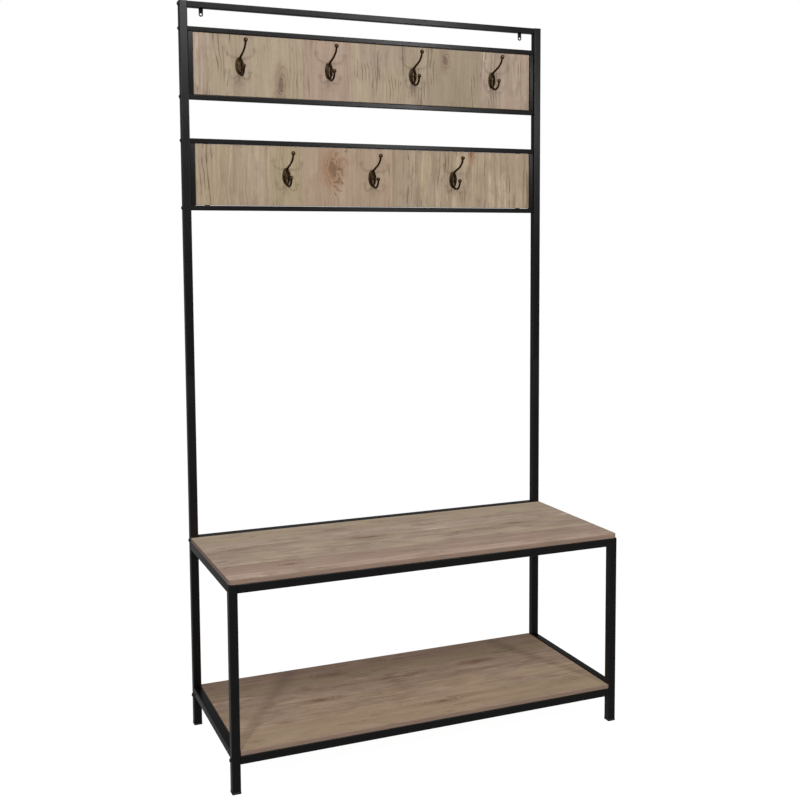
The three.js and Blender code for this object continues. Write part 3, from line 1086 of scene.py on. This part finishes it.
@dataclass(frozen=True)
class WallTab:
    """A strap with a round lower end and a screw hole, spot welded to the back of the top rail."""

    hole: float = 2.5 * MM
    above_end: float = 5.8 * MM
    ease: float = 0.25 * MM
    weld_out: float = 2.4 * MM
    weld_down: float = 5 * MM
    weld_radius: float = 1.5 * MM

    def surface(self, low: np.ndarray, high: np.ndarray) -> Surface:
        """The tab between two corners.

        It is a closed tube about the hole: at each angle the section runs from the hole's edge to the strap's
        outline, on the back face and then on the front one, with both edges eased.

        Args:
            low: the lowest corner.
            high: the highest corner.

        Returns:
            The tab and its two welds, in place.
        """
        half, thick = (high[0] - low[0]) / 2, high[1] - low[1]
        centre = np.array([(low[0] + high[0]) / 2, low[1], low[2] + self.above_end])
        top = high[2] - centre[2]
        corner = math.atan2(top, half)
        turns = np.linspace(0, 2 * math.pi, 72, False)
        angle = np.sort(np.concatenate([turns, [corner, math.pi - corner]]))
        outline = self.outline(angle, half, top, half - self.above_end)
        out = np.array([0.3, 0.7, 1.0, 1.0, 0.7, 0.3]) * self.ease
        rise = np.array([0, 0.3 * self.ease, self.ease])
        heights = np.concatenate([rise, (thick - rise)[::-1]])
        outer = [(outline - self.ease + o, h) for o, h in zip(out, heights)]
        rim = np.full_like(angle, self.hole + self.ease)
        inner = [(rim - o, h) for o, h in zip(out[::-1], heights[::-1])]
        rings = np.stack([polar_ring(angle, radius, height) for radius, height in outer + inner])
        strap = Surface.loft(rings, np.full(rings.shape[:2], 0.2), closed=True)
        welds = [self.spot_weld(x, top - self.weld_down, thick) for x in (-self.weld_out, self.weld_out)]
        return Surface.join([strap, *welds]).placed(OUT_BACK, centre)

    @staticmethod
    def outline(angle: np.ndarray, half: float, top: float, end: float) -> np.ndarray:
        """How far the strap's outline is from the hole's centre at each angle.

        Toward a side it is half / |cos a|, toward the top top / sin a, and toward the round end the root of
        t^2 - 2 t end sin a + end^2 = half^2.

        Args:
            angle: the angles, anticlockwise from the strap's right.
            half: half the strap's width.
            top: height of its top above the hole's centre.
            end: height of its round end's centre above the hole's centre.

        Returns:
            The distances.
        """
        cos, sin = np.cos(angle), np.sin(angle)
        tiny = 1e-9
        side = half / np.maximum(np.abs(cos), tiny)
        upper = np.where(sin > tiny, top / np.maximum(sin, tiny), np.inf)
        middle = end * sin
        round_end = middle + np.sqrt(middle**2 - end**2 + half**2)
        straight = np.minimum(side, upper)
        return np.where(straight * sin > end, straight, round_end)

    def spot_weld(self, x: float, y: float, height: float) -> Surface:
        """A shallow dimpled button, where the strap is spot welded."""
        profile = ((1.0, -0.1), (1.0, 0.0), (0.9, 0.16), (0.6, 0.2), (0.1, 0.08))
        rings = turned([(share * self.weld_radius, up * MM) for share, up in profile], 24)
        return Surface.loft(rings).placed(UP, np.array([x, y, height]))


@dataclass
class CrossRails:
    """The rails that run from side to side, and the wall tabs on the back of the top one."""

    finishes: Finishes

    def build(self) -> None:
        """Make the five rails and the two tabs."""
        plated = (TubeEnd.PLATED, TubeEnd.PLATED)
        main, small = SquareTube(*MAIN_TUBE, *plated), SquareTube(*SMALL_TUBE, *plated)
        rails = {f"{place}_rail": main for place in ("seat_front", "seat_back", "shelf_front", "shelf_back")}
        for node, tube in {**rails, "top_rail": small}.items():
            add_piece(f"{node}_tube", tube.surface(*box_of(node)), [self.finishes.paint], node)
        for side in SIDES:
            node = f"wall_tab_{side}"
            tab = WallTab().surface(*box_of(node))
            add_piece(f"{node}_strap", tab, [self.finishes.paint], node)


@dataclass(frozen=True)
class FrameBolt:
    """A dome-headed bolt with a hexagon socket, seen on the outer face of an upright."""

    head_height: float = 3.6 * MM
    dome_turn: float = math.radians(62)
    shank: float = 2.5 * MM
    socket: float = 1.5 * MM
    socket_depth: float = 1.9 * MM
    lip: float = 0.12 * MM

    def surface(self, low: np.ndarray, high: np.ndarray, sign: float) -> Surface:
        """The head, its socket and its shank.

        The head's radius is R cos a and its height H sin a. The socket's edge is at socket / cos(a), with a
        measured from the middle of each of the hexagon's sides.

        Args:
            low: the bolt's lowest corner.
            high: its highest corner.
            sign: -1 on the left, where the head points to -X, and 1 on the right.

        Returns:
            The bolt, in place.
        """
        around = 48
        radius = (high[2] - low[2]) / 2
        length = high[0] - low[0] - self.head_height
        turn = np.linspace(0, self.dome_turn, 9)
        dome = [(radius * math.cos(a), self.head_height * math.sin(a)) for a in turn]
        end = [(self.shank - 0.4 * MM, -length), (self.shank, 0.4 * MM - length), (self.shank, -0.05 * MM)]
        shell = turned([*end, (radius - 0.3 * MM, 0.0), *dome], around)
        angle = np.arange(around) * 2 * math.pi / around
        sixth = math.pi / 3
        hexagon = self.socket / np.cos(np.mod(angle, sixth) - sixth / 2)
        top = dome[-1][1] + self.lip
        floor = top - self.socket_depth
        walls = ((1.16, top), (1.04, top), (1.0, top - self.lip), (1.0, floor), (0.3, floor - 0.4 * MM))
        hollow = np.stack([polar_ring(angle, share * hexagon, height) for share, height in walls])
        rings = np.concatenate([shell, hollow])
        wear = np.zeros(rings.shape[:2])
        wear[4:15] = 0.7
        middle = (low + high) / 2
        origin = np.array([(low[0] if sign > 0 else high[0]) + sign * length, middle[1], middle[2]])
        axes = np.stack([ALONG_X[0], sign * ALONG_X[1], sign * ALONG_X[2]])
        return Surface.loft(rings, wear).placed(axes, origin)


@dataclass
class FrameBolts:
    """The eighteen bolts that hold the cross rails between the side frames."""

    finishes: Finishes
    places: tuple[str, ...] = (
        "shelf_front",
        "shelf_back",
        "seat_front",
        "seat_back",
        "lower_panel_bottom",
        "lower_panel_top",
        "upper_panel_bottom",
        "upper_panel_top",
        "top_rail",
    )

    def build(self) -> None:
        """Make them all."""
        for side, sign in zip(SIDES, (-1.0, 1.0)):
            for place in self.places:
                node = f"{place}_bolt_{side}"
                surface = FrameBolt().surface(*box_of(node), sign)
                add_piece(f"{node}_head", surface, [self.finishes.oxide], node)


# -----------------------------------------------------------------------------
# Boards
# -----------------------------------------------------------------------------


@dataclass
class Board:
    """A laminated board with banded edges."""

    node: str
    slot: str
    face: bpy.types.Material
    edge: bpy.types.Material
    thin_axis: int
    corners: tuple[float, float, float, float] = (0.8 * MM, 0.8 * MM, 0.8 * MM, 0.8 * MM)
    ease: float = 0.7 * MM

    def build(self) -> None:
        """Make the board: both faces laminate, and the edges with their easing the band."""
        low, high = box_of(self.node)
        axes = UP if self.thin_axis == 2 else OUT_FRONT
        half = [abs(axes[k] @ (high - low)) / 2 for k in (0, 1)]
        thick = high[self.thin_axis] - low[self.thin_axis]
        inset, rise = eased(self.ease)
        insets = np.concatenate([[4 * self.ease], inset, inset[::-1], [4 * self.ease]])
        along = np.concatenate([[0.0], rise, (thick - rise)[::-1], [thick]])
        rings, wear = rounded_rings((half[0], half[1]), self.corners, insets, along, 8)
        surface = Surface.loft(rings, wear)
        on_edge = np.arange(len(insets) - 1)
        on_edge = (on_edge >= 2) & (on_edge <= len(insets) - 4)
        surface.finishes[: len(surface.quads)] = np.repeat(on_edge.astype(int), rings.shape[1])
        origin = (low + high) / 2
        origin[self.thin_axis] = low[self.thin_axis] if self.thin_axis == 2 else high[self.thin_axis]
        board = surface.placed(axes, origin)
        add_piece(f"{self.node}_oak", board, [self.face, self.edge], self.node)


# -----------------------------------------------------------------------------
# Hook panels
# -----------------------------------------------------------------------------


@dataclass(frozen=True)
class CoatHook:
    """A cast hook: one round bar, from a long upper prong down an oval plate to a short lower prong.

    The bar's line is given as (out from the board, up from the middle of the plate), in millimetres. Each end
    has a ball.
    """

    line: tuple[tuple[float, float], ...] = (
        (62.0, 53.0),
        (56.5, 40.5),
        (41.0, 30.0),
        (22.0, 23.5),
        (8.5, 18.6),
        (3.8, 11.0),
        (3.4, 0.0),
        (3.6, -12.0),
        (8.0, -21.7),
        (20.0, -26.5),
        (33.0, -24.5),
        (41.5, -16.0),
        (43.5, -6.0),
    )
    bar_radius: float = 2.6 * MM
    upper_ball: float = 5.4 * MM
    lower_ball: float = 5.0 * MM
    plate_half: tuple[float, float] = (11.0 * MM, 22.0 * MM)
    plate_edge: float = 1.5 * MM
    plate_crown: float = 3.4 * MM
    fillet: float = 1.5 * MM
    fillet_reach: float = 3.6 * MM
    groove: float = 0.35 * MM
    screw_at: float = 6.9 * MM
    screw_out: float = 2.3 * MM

    def bar(self) -> Surface:
        """The bar with its two balls, as one sweep.

        Near each end the radius is the ball's, sqrt(R^2 - (s - R)^2), joined to the bar's own by the sixth
        root of the sum of their sixth powers. The bar is wider where it lies on the plate.

        Returns:
            The bar, with the plate's middle at the origin, X across the board, Y up it and Z out of it.
        """
        knots = [(0.0, up * MM, out * MM) for out, up in self.line]
        line = smooth_line(knots)
        length = float(np.linalg.norm(np.diff(line, axis=0), axis=1).sum())
        first, last = self.upper_ball, self.lower_ball
        turn = np.linspace(0.12, 0.86 * math.pi, 18)
        head = first * (1 - np.cos(turn)) - first
        tail = length + last - last * (1 - np.cos(turn[::-1]))
        s = np.concatenate([head, np.linspace(head[-1], tail[0], 92)[1:-1], tail])
        path = at_lengths(line, s)
        balls = np.zeros_like(s)
        for radius, distance in ((first, s + first), (last, length + last - s)):
            balls = np.maximum(balls, np.sqrt(np.clip(radius**2 - (distance - radius) ** 2, 0, None)))
        neck = smoothstep(0, 0.5 * first, s) * smoothstep(0, 0.5 * last, length - s)
        on_plate = 1 - smoothstep(14 * MM, 24 * MM, np.abs(path[:, 1]))
        on_plate *= path[:, 2] < 12 * MM
        swell = 1 + 0.18 * smoothstep(40 * MM, 10 * MM, path[:, 2]) * (1 - on_plate)
        power = 6
        bar = self.bar_radius * swell * neck
        radius = (balls**power + bar**power) ** (1 / power)
        wide = radius * (1 + 0.18 * on_plate)
        rings = sweep(path, AXIS_X, circle(22), radius, wide)
        # Wear is greatest on the balls, whose brass is partly rubbing and partly a painted highlight.
        wear = np.clip(balls / self.upper_ball + 0.35 * on_plate + 0.12, 0, 1)
        return Surface.loft(rings, np.broadcast_to(wear[:, None], rings.shape[:2]))

    def plate(self) -> Surface:
        """The oval plate, of height edge + (crown - edge) * (1 - k^2) at k times its half size.

        A fillet of height fillet * exp(-(x / fillet_reach)^2) runs up to the bar on both sides, and fades
        toward the rim. A shallow groove follows the rim.

        Returns:
            The plate, on the same axes as the bar.
        """
        angle = np.arange(64) * 2 * math.pi / 64
        share = np.concatenate([[0.96, 1.0, 1.0, 0.985, 0.95], np.linspace(0.9, 0.02, 16)])
        x = share[:, None] * self.plate_half[0] * np.cos(angle)
        y = share[:, None] * self.plate_half[1] * np.sin(angle)
        crown = self.plate_edge + (self.plate_crown - self.plate_edge) * (1 - share[:, None] ** 2)
        fillet = self.fillet * np.exp(-((x / self.fillet_reach) ** 2)) * (1 - share[:, None] ** 6)
        groove = self.groove * np.exp(-(((share[:, None] - 0.86) / 0.05) ** 2))
        z = crown + fillet - groove
        z[0], z[1], z[2] = 0.0, 0.25 * MM, self.plate_edge - 0.4 * MM
        rings = np.stack([x, y, z], axis=-1)
        wear = 0.55 * np.exp(-(((share - 0.96) / 0.06) ** 2))
        return Surface.loft(rings, np.broadcast_to(wear[:, None], rings.shape[:2]))


@dataclass(frozen=True)
class BoardLug:
    """A joggled strip from the back of a bar to the back of the board, with a screw into the board.

    on_bar and on_board are the distances from the bar's edge at which the strip lies against each of them, in
    millimetres, toward the middle of the panel.
    """

    half_thick: float = 0.7 * MM
    half_wide: float = 6.5 * MM
    on_bar: tuple[float, ...] = (-8.0, -3.0, -0.5)
    on_board: tuple[float, ...] = (4.0, 7.0, 14.0)
    screw_at: float = 9.0 * MM

    def surfaces(
        self, bar_back: float, board_back: float, edge: float, inward: float
    ) -> tuple[Surface, Surface]:
        """The strip and its screw, at X = 0.

        The strip is of even width, and ends in a half circle on the board.

        Args:
            bar_back: Y of the bar's back face.
            board_back: Y of the board's back face.
            edge: Z of the bar's edge beside the board.
            inward: -1 when the middle of the panel is below the bar, and 1 when it is above.

        Returns:
            Both surfaces.
        """
        knots = [(bar_back, away) for away in self.on_bar] + [(board_back, away) for away in self.on_board]
        line = smooth_line([(back + self.half_thick, edge + inward * away * MM) for back, away in knots])
        length = float(np.linalg.norm(np.diff(line, axis=0), axis=1).sum())
        straight = length - self.half_wide
        tip = length - self.half_wide * np.cos(np.linspace(0.1, 1, 9) * math.pi / 2)
        s = np.concatenate([[0.0], np.linspace(0.3 * MM, straight, 24), tip])
        s = np.unique(np.round(s, 9))
        flat = at_lengths(line, s)
        path = np.stack([np.zeros(len(s)), flat[:, 0], flat[:, 1]], axis=-1)
        past = np.clip((s - straight) / self.half_wide, 0, 0.995)
        wide = self.half_wide * np.sqrt(1 - past**2)
        section = rounded_rings((1.0, 1.0), [0.3] * 4, np.zeros(1), np.zeros(1), 3)[0][0, :, :2]
        rings = sweep(path, AXIS_X, section, np.full(len(s), self.half_thick), wide)
        strip = Surface.loft(rings, np.full(rings.shape[:2], 0.15))
        seat = np.array([0.0, board_back + 2 * self.half_thick, edge + inward * self.screw_at])
        return strip, PanHeadScrew(2.6 * MM, 1.5 * MM).surface().placed(OUT_BACK, seat)


@dataclass
class HookPanel:
    """A welded frame of bars, the board set back in it, and the board's row of hooks."""

    name: str
    hooks: int
    board: bpy.types.Material
    finishes: Finishes
    lugs: int = 2
    lug_inset: float = 30 * MM
    hook: CoatHook = CoatHook()

    def build(self) -> None:
        """Make the frame, the board, the hooks, their screws, and the lugs that hold the board."""
        bar, stile = SquareTube(*SMALL_TUBE, TubeEnd.PLATED, TubeEnd.PLATED), SquareTube(*SMALL_TUBE)
        for part in ("top_bar", "bottom_bar"):
            node = f"{self.name}_{part}"
            add_piece(f"{node}_tube", bar.surface(*box_of(node)), [self.finishes.paint], node)
        for side in SIDES:
            node = f"{self.name}_stile_{side}"
            low, high = box_of(node)
            welded = Surface.join([stile.surface(low, high), *self.welds(low, high)])
            add_piece(f"{node}_tube", welded, [self.finishes.paint], node)
        Board(f"{self.name}_board", "oak_panel", self.board, self.finishes.edge, 1).build()
        for number in range(1, self.hooks + 1):
            self.add_hook(f"{self.name}_hook_{number}")
        for edge in ("top", "bottom"):
            self.add_lugs(edge)

    @staticmethod
    def welds(low: np.ndarray, high: np.ndarray) -> list[Surface]:
        """A bead across the back of each butt joint of a stile."""
        back = high[1] - 0.25 * MM
        start, end = low[0] + 2.5 * MM, high[0] - 2.5 * MM
        runs = [np.array([[start, back, z], [end, back, z]]) for z in (low[2], high[2])]
        return [WeldBead(0.8 * MM).surface(*run) for run in runs]

    def add_hook(self, node: str) -> None:
        """One hook and its two screws, in the place of a hook of the frame.

        Args:
            node: the hook's part of the frame.
        """
        low, high = box_of(node)
        board_front = box_of(f"{self.name}_board")[0][1]
        centre = np.array([(low[0] + high[0]) / 2, board_front, self.middle()])
        casting = Surface.join([self.hook.plate(), self.hook.bar()]).placed(OUT_FRONT, centre)
        add_piece(f"{node}_casting", casting, [self.finishes.bronze], node)
        seats = [np.array([x, 0.0, self.hook.screw_out]) for x in (-self.hook.screw_at, self.hook.screw_at)]
        pair = Surface.join([PanHeadScrew().surface().placed(UP, seat) for seat in seats])
        add_piece(f"{node}_screws", pair.placed(OUT_FRONT, centre), [self.finishes.bronze])

    def middle(self) -> float:
        """Height of the middle of the panel's frame."""
        return (box_of(f"{self.name}_bottom_bar")[0][2] + box_of(f"{self.name}_top_bar")[1][2]) / 2

    def add_lugs(self, edge: str) -> None:
        """Lugs from the back of a bar to the back of the board, and their screws.

        Args:
            edge: "top" or "bottom", the bar that they are welded to.
        """
        bar_low, bar_high = box_of(f"{self.name}_{edge}_bar")
        board_low, board_high = box_of(f"{self.name}_board")
        bar_edge, inward = (bar_low[2], -1.0) if edge == "top" else (bar_high[2], 1.0)
        pair = BoardLug().surfaces(bar_high[1], board_high[1], bar_edge, inward)
        places = np.linspace(board_low[0] + self.lug_inset, board_high[0] - self.lug_inset, self.lugs)
        lugs, screws = (Surface.join([part.placed(UP, x * AXIS_X) for x in places]) for part in pair)
        add_piece(f"{self.name}_{edge}_lugs", lugs, [self.finishes.paint])
        add_piece(f"{self.name}_{edge}_lug_screws", screws, [self.finishes.oxide])


# -----------------------------------------------------------------------------
# Bench boards
# -----------------------------------------------------------------------------


@dataclass
class BenchBoards:
    """The seat and the shelf, and the screws up through the rails that hold them."""

    finishes: Finishes
    front_corner: float = 10 * MM
    back_corner: float = 1 * MM
    screws_at: tuple[float, ...] = (-0.36, 0.0, 0.36)

    def build(self) -> None:
        """Make both boards and their screws."""
        corners = (self.back_corner, self.back_corner, self.front_corner, self.front_corner)
        Board("seat_board", "oak_board", self.finishes.seat, self.finishes.edge, 2, corners).build()
        Board("shelf_board", "oak_board", self.finishes.shelf, self.finishes.edge, 2).build()
        self.add_screws("seat_board_screws", ("seat_front_rail",))
        self.add_screws("shelf_board_screws", ("shelf_front_rail", "shelf_back_rail"))

    def add_screws(self, name: str, rails: Sequence[str]) -> None:
        """Screw heads on the underside of rails.

        Args:
            name: the piece's name.
            rails: the rails that they go up through.
        """
        head = PanHeadScrew(3.4 * MM, 1.8 * MM).surface()
        heads = []
        for low, high in map(box_of, rails):
            seats = [np.array([x, (low[1] + high[1]) / 2, low[2]]) for x in self.screws_at]
            heads += [head.placed(DOWN, seat) for seat in seats]
        add_piece(name, Surface.join(heads), [self.finishes.oxide])


# -----------------------------------------------------------------------------
# Studio
# -----------------------------------------------------------------------------


@dataclass(frozen=True)
class Softbox:
    """A rectangular soft lamp that faces a point. Its power is in watts."""

    name: str
    at: tuple[float, float, float]
    aim: tuple[float, float, float]
    power: float
    width: float
    height: float

    def build(self) -> None:
        """Put the lamp in the scene."""
        lamp = bpy.data.lights.new(self.name, "AREA")
        lamp.energy = self.power
        lamp.shape = "RECTANGLE"
        lamp.size, lamp.size_y = self.width, self.height
        made = bpy.data.objects.new(self.name, lamp)
        made.location = self.at
        made.rotation_euler = (Vector(self.at) - Vector(self.aim)).to_track_quat("Z", "Y").to_euler()
        bpy.context.scene.collection.objects.link(made)


@dataclass
class Studio:
    """A white paper floor, a soft dome, four soft lamps and the camera."""

    finishes: Finishes
    softboxes: tuple[Softbox, ...] = (
        Softbox("left_softbox", (-2.0, -2.6, 2.3), (0.0, 0.0, 1.3), 34.0, 0.28, 0.28),
        Softbox("right_softbox", (1.5, -2.9, 2.2), (0.0, 0.0, 1.3), 26.0, 0.28, 0.28),
        Softbox("high_softbox", (0.0, -2.3, 3.3), (0.0, 0.0, 0.4), 54.0, 1.8, 1.4),
        Softbox("side_strip", (-2.7, -1.0, 1.2), (0.0, 0.0, 1.1), 5.0, 0.12, 2.2),
    )
    dome_cast: float = 0.18
    dome_shown: float = 1.0
    eye: tuple[float, float, float] = (-1.0592, -2.5412, 1.2086)
    yaw: float = math.radians(22.534)
    pitch: float = math.radians(4.709)
    roll: float = math.radians(0.334)
    lens: float = 49.85
    shift: float = -0.075

    def build(self) -> None:
        """Set up the studio."""
        self.add_floor()
        self.add_dome()
        for softbox in self.softboxes:
            softbox.build()
        self.add_camera()
        bpy.context.scene.view_settings.view_transform = "Standard"

    def add_floor(self) -> None:
        """A sheet of paper far wider than the hall tree."""
        reach = 30.0
        rings = np.array([[[-reach, -reach, 0], [reach, -reach, 0], [reach, reach, 0], [-reach, reach, 0]]])
        depth = np.array([0.0, 0.0, 0.002])
        sheet = Surface.loft(np.concatenate([rings - depth, rings]))
        add_mesh("studio_floor", sheet, [self.finishes.paper])

    def add_dome(self) -> None:
        """A white backdrop that lights the scene less than it shows."""
        world = bpy.data.worlds.new("studio_dome")
        bpy.context.scene.world = world
        graph = Graph(world)
        white = (1.0, 1.0, 1.0)
        cast, shown = (
            graph.value("ShaderNodeBackground", None, {"Color": white, "Strength": strength})
            for strength in (self.dome_cast, self.dome_shown)
        )
        seen = graph.value("ShaderNodeLightPath", None, {}, "Is Camera Ray")
        blend = graph.value("ShaderNodeMixShader", None, {0: seen, 1: cast, 2: shown})
        graph.node("ShaderNodeOutputWorld", None, {"Surface": blend})

    def add_camera(self) -> None:
        """The camera, at eye height to the left of the hall tree, turned toward its middle."""
        data = bpy.data.cameras.new("camera")
        data.lens = self.lens
        data.shift_y = self.shift
        camera = bpy.data.objects.new("camera", data)
        look = Euler((math.pi / 2 - self.pitch, 0.0, -self.yaw)).to_matrix()
        tilt = Matrix.Rotation(-self.roll, 3, "Z")
        camera.matrix_world = Matrix.Translation(self.eye) @ (look @ tilt).to_4x4()
        bpy.context.scene.collection.objects.link(camera)
        bpy.context.scene.camera = camera


def write_sizes() -> None:
    """Bring the scene's transforms up to date."""
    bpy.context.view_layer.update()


def main() -> None:
    """Build the hall tree and its studio."""
    logging.basicConfig(level=logging.INFO, format="%(name)s %(message)s")
    finishes = Finishes()
    for side in SIDES:
        SideFrame(side, finishes).build()
        BackUpright(side, finishes).build()
    CrossRails(finishes).build()
    FrameBolts(finishes).build()
    BenchBoards(finishes).build()
    HookPanel("upper_panel", 4, finishes.upper, finishes).build()
    HookPanel("lower_panel", 3, finishes.lower, finishes).build()
    Studio(finishes).build()
    write_sizes()


if __name__ == "__main__":
    main()
